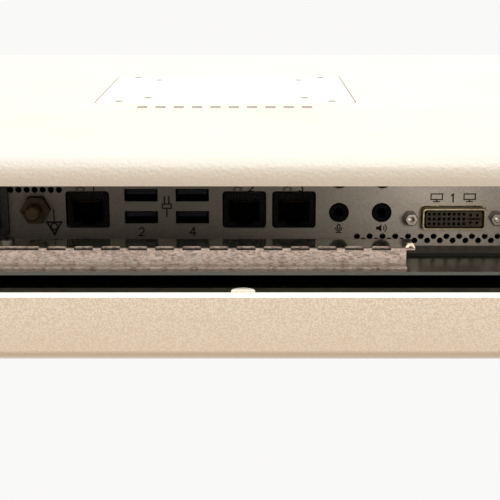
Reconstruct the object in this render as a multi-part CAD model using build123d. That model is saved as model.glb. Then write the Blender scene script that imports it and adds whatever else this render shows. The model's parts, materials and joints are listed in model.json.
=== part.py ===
"""Medical-grade all-in-one computer: a 24 inch panel computer that hangs on a VESA arm.

Frame: +X to the right as seen by the user, +Y towards the back, +Z up.
The origin is the centre of the VESA hole pattern, on the outer face of its plate.
The connectors sit in a bay that opens downwards between the back cover and the front bezel.
Millimetres throughout.
"""
import os

from build123d import *

os.makedirs("parts", exist_ok=True)

# ---------------------------------------------------------------- driving dimensions
WIDTH, HEIGHT = 580.0, 396.0
BACK_Y = 0.0            # outer face of the back cover, flush with the mounting face
PARTING_Y = -48.6       # where the back cover meets the bezel
FRONT_Y = -72.6         # outer face of the bezel
WALL = 3.0
CORNER_R, BACK_EDGE_R, FRONT_EDGE_R = 20.0, 9.0, 4.0
HALF_X = WIDTH / 2
BOTTOM_Z, TOP_Z = -208.0, HEIGHT - 208.0

BAY_DEPTH = 50.6        # from the bottom edge up to the connector panel
PANEL_Z = BOTTOM_Z + BAY_DEPTH
PANEL_HALF = 185.0
PANEL_FOOT = 11.7       # how far the panel's foot comes forward on the shelf
SHEET = 1.2             # sheet metal of the panel and the brackets
VENT_R = 1.2
SHELF_Y = -43.8         # back face of the chassis plate, which is also the floor of the bay
PLATE_T = 1.2
SHELF_EDGE_Z = BOTTOM_Z + 16.2
LIP_Y = -8.7            # edge of the back cover over the bay
MOUTH_HALF = 187.0
BOARD_Y = -37.0         # back face of the mainboard
BOARD_T = 1.6

# ports along the panel: centre x of each
LAN_X = {"1": 51.6, "2a": -9.3, "2b": -28.6}
USB_X = {"1_2": 30.8, "3_4": 10.9}
AUDIO_X = {"mic": -46.1, "speaker": -62.7}
DVI_X = {"1": -90.3, "2": -130.3}
INLET_X, ROCKER_X, EARTH_X = 97.2, 124.0, 71.5
INLET_V = 16.4          # heights on the panel are measured from the shelf, towards the back
EARTH_V = 16.0
EARTH_PIN_R, EARTH_TAIL_R, NUT_H = 3.0, 2.5, 4.2
LAN_W, LAN_LOW, LAN_HIGH = 17.0, 8.2, 22.9
USB_W, USB_H = 13.0, 5.0
USB_LOWS = (10.0, 18.8)
JACK_R, JACK_VS = 3.9, (14.4, 27.9)
DVI_W, DVI_H, DVI_V = 26.1, 9.2, 12.8
DVI_SCREWS = 33.0
DVI_REACH = 4.7         # how far the plug shell stands out of the panel

RAIL_Y = -36.7          # top leaf of the cable-tie rail
RAIL_Z = BOTTOM_Z + 23.7    # its upright leaf
RAIL_X = (-72.5, 108.5)
RAIL_LEAF_END = -69.2   # the upright leaf stops a little short of the top leaf
RAIL_BACK_Z = BOTTOM_Z + 37.4
RAIL_T = 0.8
RAIL_PITCH, RAIL_SLOT, RAIL_SLOTS = 10.0, 7.0, 13
RAIL_FIRST_SLOT = 60.0
RAIL_LONG_SLOT = (66.5, 104.5)
RAIL_SCREW = (79.4, BOTTOM_Z + 30.8)

GLASS_X, GLASS_Z = 276.0, (-172.0, 176.0)
GLASS_Y = (FRONT_Y + 0.5, FRONT_Y + 3.5)
LCD_X, LCD_Z = 270.0, (-166.0, 170.0)
LCD_Y = (-68.1, -56.1)
CELL_MARGIN = 3.5

KEY_Z = -190.0
KEYS = {"brightness_down": 150.0, "brightness_up": 172.0, "volume_down": 194.0, "volume_up": 216.0}
KEY_SIZE = (15.0, 7.0)
POWER_X, POWER_R = 250.0, 7.0
KEY_PROUD = 0.8
KEY_GAP = 0.35
KEY_BOARD_Y = -63.0
LIGHT_X, LIGHT_R = 233.5, 1.2
KEY_POSTS = (161.0, 205.0)
SNAP_X, SNAP_R = -9.0, 4.3

VESA = 100.0
VESA_SMALL = 75.0
VESA_HOLE_R = 2.0
VESA_WINDOW = 122.0
BRACKET_X, BRACKET_Z = (-156.0, 80.0), 72.0
BRIDGE_Y = -3.6         # back face of the bridge, around its raised pad
PAD_GAP = 0.5           # between the pad and the cover

COVER_SCREWS = [(sx * 256.0, z) for sx in (-1, 1) for z in (-120.0, 10.0, 150.0)]
COVER_SCREWS += [(sx * 200.0, 170.0) for sx in (-1, 1)]
BEZEL_SCREWS = [(sx * 281.0, z) for sx in (-1, 1) for z in (-120.0, 10.0, 140.0)]
BEZEL_SCREWS += [(x, 181.0) for x in (-120.0, 120.0)]

BOARD_X, BOARD_Z = (-152.0, 74.0), (PANEL_Z + 1.8, 30.0)
BOARD_HOLES = [(-144.0, -100.0), (66.0, -100.0), (-144.0, 24.0), (66.0, 24.0)]
CPU_X, CPU_Z = -40.0, -62.0
SINK_X, SINK_Z = (-85.0, 5.0), (-98.0, -26.0)
SINK_Y = (-33.0, -14.0)
FAN_C, FAN_SIDE, FAN_H = (-40.0, 17.0), 76.0, 20.0
FAN_BASE_Y = -34.0
ROTOR_R, HUB_R, BLADES = 32.0, 14.0, 17
SHAFT_R, RUNNING = 1.5, 0.05
PSU_X, PSU_Z, PSU_BACK_Y = (88.0, 186.0), (-112.0, 70.0), -8.0
CABLE_Y = -32.5         # where the power cable leaves the supply
DRIVE_X, DRIVE_Z = (-244.0, -168.0), (-62.0, 46.0)
SPEAKER_X, SPEAKER_Z = (204.0, 262.0), (BOTTOM_Z + 3.6, BOTTOM_Z + 35.0)


def block(x, y, z):
    """A box between the two limits given on each axis."""
    lows, highs = zip(*(sorted(r) for r in (x, y, z)))
    size = [h - l for l, h in zip(lows, highs)]
    centre = [(h + l) / 2 for l, h in zip(lows, highs)]
    return Pos(*centre) * Box(*size)


def rod(axis, centre, radius, span):
    """A cylinder along an axis: centre holds the other two coordinates, in X, Y, Z order."""
    a, b = centre
    mid, length = sum(span) / 2, abs(span[1] - span[0])
    if axis == "X":
        return Pos(mid, a, b) * Rot(Y=90) * Cylinder(radius, length)
    if axis == "Y":
        return Pos(a, mid, b) * Rot(X=90) * Cylinder(radius, length)
    return Pos(a, b, mid) * Cylinder(radius, length)


def hexagon(centre, across_flats, span, turn=0.0):
    """A hexagonal bar along Z."""
    prism = extrude(RegularPolygon(across_flats / 2, 6, major_radius=False), abs(span[1] - span[0]))
    return Pos(centre[0], centre[1], min(span)) * Rot(Z=turn) * prism


def rounded(x, y, z, radius, axis):
    """A box with its four edges along one axis rounded."""
    return fillet(block(x, y, z).edges().filter_by(axis), radius)


def at(v):
    """Y of a height on the connector panel."""
    return SHELF_Y + v


def fuse(*shapes):
    """One solid out of several that overlap or touch."""
    body = shapes[0]
    for s in shapes[1:]:
        body = body + s
    return body


def save(name, *solids):
    """Writes one sub-part, of one or more separate solids."""
    shapes = [s for piece in solids for s in piece.solids()]
    export_step(shapes[0] if len(shapes) == 1 else Compound(children=shapes), f"parts/{name}.step")


# ---------------------------------------------------------------- housing
def back_cover():
    """Moulded cover: plain rounded back, VESA window, intake slots, bay mouth, side and speaker slots."""
    outer = rounded((-HALF_X, HALF_X), (PARTING_Y, BACK_Y), (BOTTOM_Z, TOP_Z), CORNER_R, Axis.Y)
    outer = fillet(outer.faces().sort_by(Axis.Y)[-1].edges(), BACK_EDGE_R)
    hx, inside_z = HALF_X - WALL, (BOTTOM_Z + WALL, TOP_Z - WALL)
    inner = rounded((-hx, hx), (PARTING_Y - 1, BACK_Y - WALL), inside_z, CORNER_R - WALL, Axis.Y)
    inner = fillet(inner.faces().sort_by(Axis.Y)[-1].edges(), BACK_EDGE_R - WALL)
    cover = outer - inner
    # bay mouth in the bottom wall
    cover -= block((-MOUTH_HALF, MOUTH_HALF), (PARTING_Y - 1, LIP_Y), (BOTTOM_Z - 1, BOTTOM_Z + 8))
    window = VESA_WINDOW / 2
    through = (BACK_Y - WALL - 1, BACK_Y + 1)
    cover -= rounded((-window, window), through, (-window, window), 8, Axis.Y)
    # cheeks that close the two ends of the bay
    for side in (-1, 1):
        cheek = (side * 190.0, side * 193.0)
        cover += block(cheek, (SHELF_Y + 0.3, BACK_Y - WALL + 0.5), (BOTTOM_Z + 1.5, PANEL_Z + 2))
    # screw towers
    for x, z in COVER_SCREWS:
        cover += rod("Y", (x, z), 6.5, (SHELF_Y + 0.2, BACK_Y - 1))
        cover -= rod("Y", (x, z), 4.2, (SHELF_Y + 3.2, BACK_Y + 1))
        cover -= rod("Y", (x, z), 1.7, (SHELF_Y - 1, SHELF_Y + 4))
    cuts = []
    # short intake slots in a row under the VESA window
    for i in range(10):
        x = 8.3 * (i - 4.5)
        cuts.append(block((x - 2.3, x + 2.3), through, (-73.2, -67.8)))
    # outlet slots in both side walls, near the top
    for side in (-1, 1):
        for i in range(12):
            z = 60.0 + 8.0 * i
            cuts.append(block((side * (HALF_X - 5), side * (HALF_X + 1)), (-37, -15), (z - 1.5, z + 1.5)))
        for i in range(7):
            x = side * (212.0 + 7.0 * i)
            cuts.append(block((x - 1.2, x + 1.2), (-39, -23), (BOTTOM_Z - 1, BOTTOM_Z + 5)))
    return cover - cuts


def front_bezel():
    """Moulded frame around the glass, with its rim, the shelf that carries the bay's seal, and screw posts."""
    outer = rounded((-HALF_X, HALF_X), (FRONT_Y, PARTING_Y - 0.1), (BOTTOM_Z, TOP_Z), CORNER_R, Axis.Y)
    outer = fillet(outer.faces().sort_by(Axis.Y)[0].edges(), FRONT_EDGE_R)
    hx, inside_z = HALF_X - WALL, (BOTTOM_Z + WALL, TOP_Z - WALL)
    inner = rounded((-hx, hx), (FRONT_Y + WALL, PARTING_Y + 1), inside_z, CORNER_R - WALL, Axis.Y)
    bezel = outer - inner
    gap = 0.4
    bezel -= rounded((-GLASS_X - gap, GLASS_X + gap), (FRONT_Y - 1, GLASS_Y[1] + 0.5),
                     (GLASS_Z[0] - gap, GLASS_Z[1] + gap), 4, Axis.Y)
    # ledge that the glass is bonded to
    ledge_y = (GLASS_Y[1] + 0.8, GLASS_Y[1] + 3.4)
    ledge = rounded((-GLASS_X - 1.5, GLASS_X + 1.5), ledge_y, (GLASS_Z[0] - 1.5, GLASS_Z[1] + 1.5), 4, Axis.Y)
    ledge -= block((-LCD_X - 0.6, LCD_X + 0.6), (-80, -60), (LCD_Z[0] - 0.6, LCD_Z[1] + 0.6))
    web = rounded((-GLASS_X - 2.5, GLASS_X + 2.5), (FRONT_Y + 1, ledge_y[1]),
                  (GLASS_Z[0] - 2.5, GLASS_Z[1] + 2.5), 5, Axis.Y)
    web -= block((-GLASS_X - gap, GLASS_X + gap), (-80, -60), (GLASS_Z[0] - gap, GLASS_Z[1] + gap))
    bezel = bezel + web + ledge
    # rim along the bottom edge, and beside it the lower shelf for the seal
    reach = (-MOUTH_HALF - 4, MOUTH_HALF + 4)
    bezel += block(reach, (PARTING_Y - 3.2, PARTING_Y - 0.1), (BOTTOM_Z + 2.5, BOTTOM_Z + 6.5))
    bezel += block(reach, (PARTING_Y - 6, PARTING_Y - 3), (BOTTOM_Z + 2, BOTTOM_Z + 16))
    # half-round snap on the rim
    snap = rod("Y", (SNAP_X, BOTTOM_Z + 6.0), SNAP_R, (PARTING_Y - 3.2, PARTING_Y + 0.6))
    bezel += snap & block((SNAP_X - 5, SNAP_X + 5), (PARTING_Y - 4, PARTING_Y + 1),
                          (BOTTOM_Z + 6, BOTTOM_Z + 12))
    # posts that hold the key board
    for x in KEY_POSTS:
        bezel += rod("Y", (x, KEY_Z), 1.8, (FRONT_Y + 1, KEY_BOARD_Y))
    for x, z in BEZEL_SCREWS:
        post = rod("Y", (x, z), 4.0, (FRONT_Y + 2, SHELF_Y - PLATE_T - 0.2))
        bezel += post
        bezel -= rod("Y", (x, z), 1.55, (SHELF_Y - 10, SHELF_Y))
    for x in KEYS.values():
        w, h = KEY_SIZE[0] / 2 + KEY_GAP, KEY_SIZE[1] / 2 + KEY_GAP
        bezel -= rounded((x - w, x + w), (FRONT_Y - 1, FRONT_Y + 5), (KEY_Z - h, KEY_Z + h), 2, Axis.Y)
    bezel -= rod("Y", (POWER_X, KEY_Z), POWER_R + KEY_GAP, (FRONT_Y - 1, FRONT_Y + 5))
    bezel -= rod("Y", (LIGHT_X, KEY_Z), LIGHT_R + 0.05, (FRONT_Y - 1, FRONT_Y + 5))
    return bezel


def cover_glass():
    return rounded((-GLASS_X, GLASS_X), GLASS_Y, GLASS_Z, 3.6, Axis.Y)


def glass_seal():
    """Black foam tape between glass and bezel."""
    y = (GLASS_Y[1], GLASS_Y[1] + 0.8)
    tape = rounded((-GLASS_X, GLASS_X), y, GLASS_Z, 3.6, Axis.Y)
    return tape - block((-LCD_X - 0.6, LCD_X + 0.6), (-80, -60), (LCD_Z[0] - 0.6, LCD_Z[1] + 0.6))


# ---------------------------------------------------------------- display
def lcd_cell():
    m = CELL_MARGIN
    return block((-LCD_X + m, LCD_X - m), (LCD_Y[0] + 1.0, LCD_Y[0] + 2.8), (LCD_Z[0] + m, LCD_Z[1] - m))


def lcd_frame():
    """Pressed steel tray frame of the display module, with its front lip."""
    frame = block((-LCD_X, LCD_X), LCD_Y, LCD_Z)
    frame -= block((-LCD_X + 1, LCD_X - 1), (LCD_Y[0] + 0.8, 0), (LCD_Z[0] + 1, LCD_Z[1] - 1))
    lip = 6.5
    return frame - block((-LCD_X + lip, LCD_X - lip), (-80, 0), (LCD_Z[0] + lip, LCD_Z[1] - lip))


def backlight():
    m = 1.6
    return block((-LCD_X + m, LCD_X - m), (LCD_Y[0] + 3.0, LCD_Y[1] - 0.4), (LCD_Z[0] + m, LCD_Z[1] - m))


def lcd_brackets():
    """Steel angles that hang both sides of the display on the chassis."""
    plate_y = SHELF_Y - PLATE_T
    pair = []
    for side in (-1, 1):
        wall = block((side * (LCD_X + 0.2), side * (LCD_X + 1.4)), (LCD_Y[0] + 4, plate_y), (-110, 130))
        foot = block((side * (LCD_X - 10), side * (LCD_X + 1.4)), (plate_y - 1.2, plate_y), (-110, 130))
        pair.append(fuse(wall, foot))
    return pair


def led_driver():
    """Backlight driver board, on the front of the chassis plate, with its coil and connectors."""
    y = SHELF_Y - PLATE_T
    board = block((-200, -90), (y - 4.6, y - 3.0), (-130, -95))
    parts = [board]
    parts += [rod("Y", (x, z), 1.8, (y - 3.0, y)) for x in (-194, -96) for z in (-124, -101)]
    parts.append(block((-180, -166), (y - 9, y - 4.6), (-120, -106)))
    parts.append(block((-110, -98), (y - 8, y - 4.6), (-126, -118)))
    return fuse(*parts)


# ---------------------------------------------------------------- chassis
def chassis_plate():
    """Plate between display and electronics; its bottom edge is the floor of the connector bay."""
    plate = rounded((-286, 286), (SHELF_Y - PLATE_T, SHELF_Y), (SHELF_EDGE_Z, TOP_Z - 4), 14, Axis.Y)
    for side in (-1, 1):
        plate += block((side * 284.4, side * 285.6), (SHELF_Y - 0.5, SHELF_Y + 9), (-95, -10))
        plate += block((side * 284.4, side * 285.6), (SHELF_Y - 0.5, SHELF_Y + 9), (35, 115))
    holes = [rod("Y", p, 1.7, (SHELF_Y - 3, SHELF_Y + 2)) for p in COVER_SCREWS + BEZEL_SCREWS]
    holes.append(block((-72, -42), (SHELF_Y - 3, SHELF_Y + 2), (66, 74)))
    holes.append(block((232, 246), (SHELF_Y - 3, SHELF_Y + 2), (-140, -132)))
    return plate - holes


def panel_foot():
    """Strip on the shelf that the connector panel stands against."""
    return block((-PANEL_HALF, PANEL_HALF), (SHELF_Y, SHELF_Y + SHEET), (PANEL_Z - PANEL_FOOT, PANEL_Z))


def io_panel():
    """Connector panel: an upright sheet, cut out for every port and two vent fields."""
    panel = block((-PANEL_HALF, PANEL_HALF), (SHELF_Y, BACK_Y - WALL - 1), (PANEL_Z, PANEL_Z + SHEET))
    through = (PANEL_Z - 2, PANEL_Z + 3)
    cuts = []
    for x in LAN_X.values():
        cuts.append(rounded((x - LAN_W / 2, x + LAN_W / 2), (at(LAN_LOW), at(LAN_HIGH)), through, 1.4, Axis.Z))
    for x in USB_X.values():
        for low in USB_LOWS:
            cuts.append(block((x - USB_W / 2, x + USB_W / 2), (at(low), at(low + USB_H)), through))
    for x in AUDIO_X.values():
        cuts += [rod("Z", (x, at(v)), JACK_R, through) for v in JACK_VS]
    for x in DVI_X.values():
        w, h = DVI_W / 2, DVI_H / 2
        cuts.append(rounded((x - w, x + w), (at(DVI_V - h), at(DVI_V + h)), through, 1.5, Axis.Z))
        cuts += [rod("Z", (x + s * DVI_SCREWS / 2, at(DVI_V)), 1.7, through) for s in (-1, 1)]
    cuts.append(block((INLET_X - 13.6, INLET_X + 13.6), (at(INLET_V - 10), at(INLET_V + 10)), through))
    cuts.append(block((ROCKER_X - 6.6, ROCKER_X + 6.6), (at(INLET_V - 10.4), at(INLET_V + 10.4)), through))
    cuts.append(rod("Z", (EARTH_X, at(EARTH_V)), EARTH_TAIL_R + 0.1, through))
    for i in range(24):
        x = -53.3 - 5.0 * i
        cuts.append(rod("Z", (x, at(4.9)), VENT_R, through))
        cuts.append(rod("Z", (x - 2.5, at(3.2)), VENT_R, through))
    for i in range(7):
        cuts.append(rod("Z", (81.3 - 3.13 * i, at(23.4)), VENT_R, through))
    return panel - cuts


def cable_rail():
    """Z-shaped rail in front of the ports; cable ties pass through the row of slots along its fold."""
    top = block(RAIL_X, (RAIL_Y - RAIL_T, RAIL_Y), (RAIL_Z, RAIL_BACK_Z))
    leaf_x = (RAIL_LEAF_END, RAIL_X[1])
    leaf = block(leaf_x, (SHELF_Y, RAIL_Y), (RAIL_Z, RAIL_Z + RAIL_T))
    foot = block(leaf_x, (SHELF_Y, SHELF_Y + RAIL_T), (SHELF_EDGE_Z + 4.0, RAIL_Z + RAIL_T))
    rail = fuse(top, leaf, foot)
    fold = [e for e in rail.edges().filter_by(Axis.X)
            if abs(e.center().Y - RAIL_Y) < 0.01 and abs(e.center().Z - RAIL_Z) < 0.01]
    rail = fillet(fold, 0.7)
    centres = [RAIL_FIRST_SLOT - RAIL_PITCH * i for i in range(RAIL_SLOTS)]
    reaches = [(x - RAIL_SLOT / 2, x + RAIL_SLOT / 2) for x in centres] + [RAIL_LONG_SLOT]
    slots = [rounded(reach, (RAIL_Y - RAIL_T - 0.15, RAIL_Y + 1), (RAIL_Z - 1, RAIL_Z + 2.6), 1.1, Axis.Y)
             for reach in reaches]
    x, z = RAIL_SCREW
    return rail - slots - rod("Y", (x, z), 1.6, (RAIL_Y - 3, RAIL_Y + 3))


def shelf_post(x, z, top):
    """Hexagon post that stands on the chassis plate."""
    return Pos(x, SHELF_Y, z) * Rot(X=-90) * extrude(RegularPolygon(2.75, 6, major_radius=False), top - SHELF_Y)


def rail_spacer():
    """Hexagon spacer that carries the rail's back leaf."""
    x, z = RAIL_SCREW
    post = shelf_post(x, z, RAIL_Y - RAIL_T)
    return post - rod("Y", (x, z), 1.52, (SHELF_Y + 1, RAIL_Y + 1))


def pan_screw(x, y, z, length, head_r=2.9, head_h=2.0, shaft_r=1.5):
    """Pan-head machine screw whose head sits on the plane y and whose shaft points to the front."""
    head = rod("Y", (x, z), head_r, (y, y + head_h))
    head = fillet(head.edges().sort_by(Axis.Y)[-1], head_h * 0.45)
    head -= block((x - head_r * 0.6, x + head_r * 0.6), (y + head_h * 0.5, y + head_h + 1), (z - 0.35, z + 0.35))
    head -= block((x - 0.35, x + 0.35), (y + head_h * 0.5, y + head_h + 1), (z - head_r * 0.6, z + head_r * 0.6))
    return fuse(head, rod("Y", (x, z), shaft_r, (y - length, y + 0.2)))


def bay_seal():
    """Foam strip beside the rim, that the cover of the bay would press on."""
    reach = (-MOUTH_HALF - 3, MOUTH_HALF + 3)
    strip = block(reach, (PARTING_Y - 3, PARTING_Y - 0.2), (BOTTOM_Z + 6.6, BOTTOM_Z + 12.6))
    return strip - rod("Y", (SNAP_X, BOTTOM_Z + 6.0), SNAP_R + 0.3, (PARTING_Y - 4, PARTING_Y + 1))


def vesa_bracket():
    """Hat-shaped steel bridge over the mainboard; the pad pressed up in its top is the mounting face."""
    (x0, x1), z = BRACKET_X, (-BRACKET_Z, BRACKET_Z)
    bridge = block((x0, x1), (BRIDGE_Y - 2, BRIDGE_Y), z)
    pad, under = VESA_WINDOW / 2 - PAD_GAP, VESA_WINDOW / 2 - 3
    bridge += rounded((-pad, pad), (BRIDGE_Y - 1, BACK_Y), (-pad, pad), 8 - PAD_GAP, Axis.Y)
    bridge -= rounded((-under, under), (BRIDGE_Y - 3, -2), (-under, under), 5, Axis.Y)
    for x, out in ((x0, -1), (x1, 1)):
        inward = x - out * 2
        bridge += block((x, inward), (SHELF_Y, BRIDGE_Y - 1), z)
    bridge += block((x0 - 10, x0 + 2), (SHELF_Y, SHELF_Y + 2), z)
    bridge += block((x1 - 2, x1 + 5), (SHELF_Y, SHELF_Y + 2), z)
    for pitch in (VESA, VESA_SMALL):
        for sx in (-1, 1):
            for sz in (-1, 1):
                bridge -= rod("Y", (sx * pitch / 2, sz * pitch / 2), VESA_HOLE_R, (-4, 1))
    return bridge


def vesa_nuts():
    """Press-in nuts behind the mounting holes."""
    nuts = []
    for pitch in (VESA, VESA_SMALL):
        for sx in (-1, 1):
            for sz in (-1, 1):
                p = (sx * pitch / 2, sz * pitch / 2)
                nuts.append(rod("Y", p, 4.0, (-6, -2)) - rod("Y", p, VESA_HOLE_R, (-8, 0)))
    return nuts


# ---------------------------------------------------------------- connectors
def lan_jack(x):
    """Black modular jack body with its stepped plug opening."""
    front = PANEL_Z + SHEET + 0.2
    body = block((x - 8.0, x + 8.0), (BOARD_Y, at(22.4)), (front, front + 18))
    low = at(10.4)
    body -= block((x - 5.9, x + 5.9), (low, low + 8.2), (front - 1, front + 14))
    body -= block((x - 3.1, x + 3.1), (low - 1.4, low + 1), (front - 1, front + 12))
    return body


def lan_contacts():
    """Eight sloping spring contacts in each jack."""
    wires = []
    for x in LAN_X.values():
        front = PANEL_Z + SHEET + 0.2
        for i in range(8):
            cx = x + (i - 3.5) * 1.02
            wires.append(block((cx - 0.2, cx + 0.2), (at(17.6), at(18.4)), (front + 3, front + 13.8)))
    return wires


def usb_shell(x):
    """Stacked two-port shell."""
    front = PANEL_Z + SHEET + 0.2
    shell = block((x - 7.2, x + 7.2), (BOARD_Y, at(25.0)), (front, front + 17.5))
    for low in USB_LOWS:
        shell -= block((x - 6.3, x + 6.3), (at(low - 0.1), at(low + 5.1)), (front - 1, front + 15))
    return shell


def usb_tongues():
    """Contact tongue of each port."""
    front = PANEL_Z + SHEET + 0.2
    return [block((x - 5.7, x + 5.7), (at(low + 2.5), at(low + 4.3)), (front + 0.6, front + 15))
            for x in USB_X.values() for low in USB_LOWS]


def audio_stack(x):
    """Two 3.5 mm sockets, one above the other, with round collars that show in the panel's holes."""
    front = PANEL_Z + SHEET + 0.2
    body = block((x - 6.2, x + 6.2), (BOARD_Y, at(33.5)), (front, front + 13))
    for v in JACK_VS:
        body += rod("Z", (x, at(v)), 3.4, (PANEL_Z + 0.2, front + 1))
        body -= rod("Z", (x, at(v)), 1.8, (PANEL_Z - 1, front + 12))
    return body


def dvi_shell(x):
    """Metal plug shell: a rounded tube that stands out of the panel, on a flange behind it."""
    w, h = 24.2 / 2, 8.2 / 2
    front, back = PANEL_Z - DVI_REACH, PANEL_Z + SHEET + 0.2
    tube = rounded((x - w, x + w), (at(DVI_V - h), at(DVI_V + h)), (front, back + 10), 1.3, Axis.Z)
    flange = block((x - 18.6, x + 18.6), (at(DVI_V - 5.6), at(DVI_V + 5.8)), (back, back + 1))
    hollow = rounded((x - w + 0.5, x + w - 0.5), (at(DVI_V - h + 0.5), at(DVI_V + h - 0.5)),
                     (front - 1, back + 11), 0.9, Axis.Z)
    shell = fuse(tube, flange) - hollow
    for s in (-1, 1):
        shell -= rod("Z", (x + s * DVI_SCREWS / 2, at(DVI_V)), 1.7, (back - 1, back + 3))
    return shell


def dvi_core(x):
    """Insulator with 24 square contact holes, the flat blade slot and four round-contact holes."""
    w, h = 24.2 / 2 - 1.3, 8.2 / 2 - 1.1
    front, back = PANEL_Z - DVI_REACH + 0.5, PANEL_Z + SHEET + 12
    core = rounded((x - w, x + w), (at(DVI_V - h), at(DVI_V + h)), (front, back), 0.9, Axis.Z)
    root = rounded((x - w - 0.8, x + w + 0.8), (at(DVI_V - h - 0.6), at(DVI_V + h + 0.6)),
                   (PANEL_Z + 3, back), 1.0, Axis.Z)
    core = fuse(core, root)
    pitch, hole, deep = 1.905, 0.55, (front - 1, front + 5)
    left = x + 9.6
    cuts = [block((left - pitch * i - hole, left - pitch * i + hole),
                  (at(DVI_V + pitch * r) - hole, at(DVI_V + pitch * r) + hole), deep)
            for i in range(8) for r in (-1, 0, 1)]
    blade_x = x - 7.6
    cuts.append(block((blade_x - 2.4, blade_x + 2.4), (at(DVI_V - 0.3), at(DVI_V + 0.3)), deep))
    cuts += [block((blade_x + s * 1.3 - 0.5, blade_x + s * 1.3 + 0.5),
                   (at(DVI_V + t * 1.5) - 0.5, at(DVI_V + t * 1.5) + 0.5), deep)
             for s in (-1, 1) for t in (-1, 1)]
    return core - cuts


def jackscrews():
    """Threaded hexagon posts beside each plug shell."""
    posts = []
    for x in DVI_X.values():
        for s in (-1, 1):
            c = (x + s * DVI_SCREWS / 2, at(DVI_V))
            post = hexagon(c, 4.75, (PANEL_Z - 5.6, PANEL_Z - 0.01))
            post = post & rod("Z", c, 2.6, (PANEL_Z - 6, PANEL_Z + 1))
            nose = post.faces().sort_by(Axis.Z)[0].edges()
            post = chamfer(nose, 0.35)
            post += rod("Z", c, 1.5, (PANEL_Z - 0.5, PANEL_Z + 6))
            posts.append(post - rod("Z", c, 1.15, (PANEL_Z - 7, PANEL_Z - 1)))
    return posts


def ac_inlet():
    """Three-pole mains inlet with a flange outside the panel."""
    y0, y1 = at(INLET_V - 11.2), at(INLET_V + 11.2)
    flange = rounded((INLET_X - 15, INLET_X + 15), (y0, y1), (PANEL_Z - 2, PANEL_Z), 2, Axis.Z)
    body = block((INLET_X - 13.4, INLET_X + 13.4), (at(INLET_V - 9.8), at(INLET_V + 9.8)),
                 (PANEL_Z - 0.5, PANEL_Z + 24))
    inlet = fuse(flange, body)
    well = block((INLET_X - 12.2, INLET_X + 12.2), (at(INLET_V - 8.2), at(INLET_V + 8.2)),
                 (PANEL_Z - 3, PANEL_Z + 16))
    corners = [e for e in well.edges().filter_by(Axis.Z) if e.center().Y > at(INLET_V)]
    return inlet - chamfer(corners, 4.5)


def inlet_pins():
    """Flat blades: two live poles and the longer earth between them."""
    pins = []
    for dx, dv, tip in ((-7.0, -1.0, 3.0), (7.0, -1.0, 3.0), (0.0, 3.0, 1.5)):
        x, v = INLET_X + dx, INLET_V + dv
        pins.append(block((x - 1.0, x + 1.0), (at(v - 2), at(v + 2)), (PANEL_Z + tip, PANEL_Z + 16)))
    return pins


ROCKER_PIVOT_Z = PANEL_Z + 1.0


def rocker_frame():
    """Housing of the mains switch, with blind bearings for the rocker's trunnions."""
    y0, y1 = at(INLET_V - 11.2), at(INLET_V + 11.2)
    flange = rounded((ROCKER_X - 7.5, ROCKER_X + 7.5), (y0, y1), (PANEL_Z - 1.6, PANEL_Z), 1.5, Axis.Z)
    body = block((ROCKER_X - 6.4, ROCKER_X + 6.4), (at(INLET_V - 10.2), at(INLET_V + 10.2)),
                 (PANEL_Z - 0.5, PANEL_Z + 16))
    well = block((ROCKER_X - 5, ROCKER_X + 5), (at(INLET_V - 9.2), at(INLET_V + 9.2)),
                 (PANEL_Z - 3, PANEL_Z + 13))
    frame = fuse(flange, body) - well
    return frame - rod("X", (at(INLET_V), ROCKER_PIVOT_Z), 1.25, (ROCKER_X - 6, ROCKER_X + 6))


def mains_rocker():
    """Rocker with two faces that meet in the middle, resting in its off position."""
    points = [(-8.2, 1.0), (-8.2, -3.8), (0, -1.9), (8.2, -3.8), (8.2, 1.0), (4.5, 6.5), (-4.5, 6.5)]
    face = make_face(Polyline(*[(y, z, 0) for y, z in points], close=True))
    bar = extrude(face, 9.6)
    # the sketch's x runs along Y and its y along Z, and it is extruded along X
    bar = Plane(origin=(ROCKER_X - 4.8, at(INLET_V), ROCKER_PIVOT_Z), x_dir=(0, 1, 0), z_dir=(1, 0, 0)) * bar
    bar += rod("X", (at(INLET_V), ROCKER_PIVOT_Z), 1.2, (ROCKER_X - 5.9, ROCKER_X + 5.9))
    return bar.rotate(Axis((ROCKER_X, at(INLET_V), ROCKER_PIVOT_Z), (1, 0, 0)), -12)


def earth_pin():
    """Potential-equalisation stud: a smooth 6 mm pin with a thinner threaded tail through the panel."""
    c = (EARTH_X, at(EARTH_V))
    pin = rod("Z", c, EARTH_PIN_R, (PANEL_Z - 10.5, PANEL_Z - NUT_H - 0.4))
    tip = pin.faces().sort_by(Axis.Z)[0].edges()
    return fuse(fillet(tip, 1.2), rod("Z", c, EARTH_TAIL_R, (PANEL_Z - NUT_H - 1, PANEL_Z + 8)))


def earth_nuts():
    """Hexagon nuts on both sides of the panel."""
    c = (EARTH_X, at(EARTH_V))
    outer = hexagon(c, 10.0, (PANEL_Z - NUT_H, PANEL_Z))
    outer = outer & (Pos(*c, PANEL_Z - NUT_H) * Cone(5.2, 12.0, 7.0, align=(Align.CENTER, Align.CENTER, Align.MIN)))
    inner = hexagon(c, 10.0, (PANEL_Z + SHEET, PANEL_Z + SHEET + 3.2))
    hole = rod("Z", c, EARTH_TAIL_R + 0.05, (PANEL_Z - 9, PANEL_Z + 9))
    return [outer - hole, inner - hole]


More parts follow.
